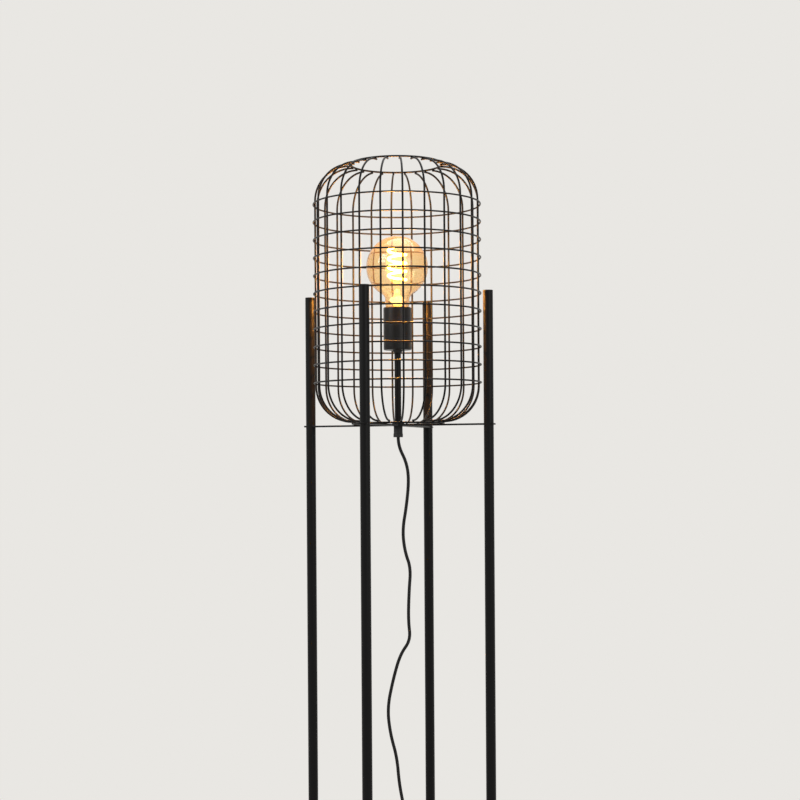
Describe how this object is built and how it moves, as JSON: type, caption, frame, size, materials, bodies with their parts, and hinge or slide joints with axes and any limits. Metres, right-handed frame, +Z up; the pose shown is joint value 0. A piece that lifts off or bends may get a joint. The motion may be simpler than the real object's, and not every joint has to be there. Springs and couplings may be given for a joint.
{
  "type": "floor lamp",
  "caption": "Tall floor lamp on slim tube legs, with a round open wire cage at the top around a globe bulb and a hanging cord with a foot switch.",
  "frame": {"origin": "on the floor, under the middle of the cage", "axes": "+Z up, the legs stand on the X and Y axes, and the cord comes down between the legs"},
  "size_m": [0.307, 0.307, 1.5],
  "materials": {
    "frame_steel": "fine satin black powder coat",
    "holder_black": "smooth satin black lacquer",
    "black_plastic": "moulded matt black plastic",
    "cord_jacket": "smooth black flexible jacket, slightly shiny",
    "ceramic": "white glazed ceramic",
    "contact_brass": "plain brass",
    "amber_glass": "clear amber glass",
    "cap_brass": "plain brass, slightly dull",
    "cap_insulation": "black glass",
    "solder": "dull grey solder",
    "mount_glass": "clear pressed glass, lit yellow",
    "filament_yellow": "soft yellow light strip that glows",
    "lead_wire": "bare steel wire",
    "tie_plastic": "black hook and loop tape",
    "switch_plastic": "smooth black plastic",
    "spring_steel": "bare spring steel",
    "pin_nickel": "nickel-plated brass"
  },
  "bodies": {
    "stand": {"leg_right": "frame_steel", "leg_back": "frame_steel", "leg_left": "frame_steel", "leg_front": "frame_steel", "leg_caps": "frame_steel", "upper_cross": "frame_steel", "lower_cross": "frame_steel", "cage_bars": "frame_steel", "cage_top_ring": "frame_steel", "cage_bottom_ring": "frame_steel", "cage_band_01": "frame_steel", "cage_band_02": "frame_steel", "cage_band_03": "frame_steel", "cage_band_04": "frame_steel", "cage_band_05": "frame_steel", "cage_band_06": "frame_steel", "cage_band_07": "frame_steel", "cage_band_08": "frame_steel", "cage_band_09": "frame_steel", "cage_band_10": "frame_steel", "cage_band_11": "frame_steel", "stem_tube": "frame_steel", "stem_nut": "frame_steel", "leg_feet": "black_plastic", "holder_collar": "holder_black", "holder_cover": "holder_black", "holder_insert": "ceramic", "screw_shell": "contact_brass", "centre_contact": "contact_brass", "cord_grip": "black_plastic", "stem_lead": "cord_jacket", "cord_drop": "cord_jacket", "cord_coil": "cord_jacket", "cord_tie": "tie_plastic", "switch_base": "switch_plastic", "switch_cover": "switch_plastic", "switch_reliefs": "cord_jacket", "switch_contacts": "black_plastic", "switch_spring": "spring_steel", "plug_boot": "cord_jacket", "plug_body": "black_plastic", "plug_pins": "pin_nickel"},
    "bulb": {"bulb_glass": "amber_glass", "bulb_cap": "cap_brass", "cap_insulator": "cap_insulation", "cap_tip": "solder", "glass_mount": "mount_glass", "filament": "filament_yellow", "filament_leads": "lead_wire"},
    "button": {"switch_button": "switch_plastic"}
  },
  "joints": [
    {"name": "bulb_lift", "type": "slide", "parent": "stand", "child": "bulb", "axis": [0, 0, 1], "range_m": [0, 0.02]},
    {"name": "button_press", "type": "slide", "parent": "stand", "child": "button", "axis": [0, 0, -1], "range_m": [0, 0.003], "stiffness_N_per_m": 800, "deforming": ["switch_spring"]}
  ]
}
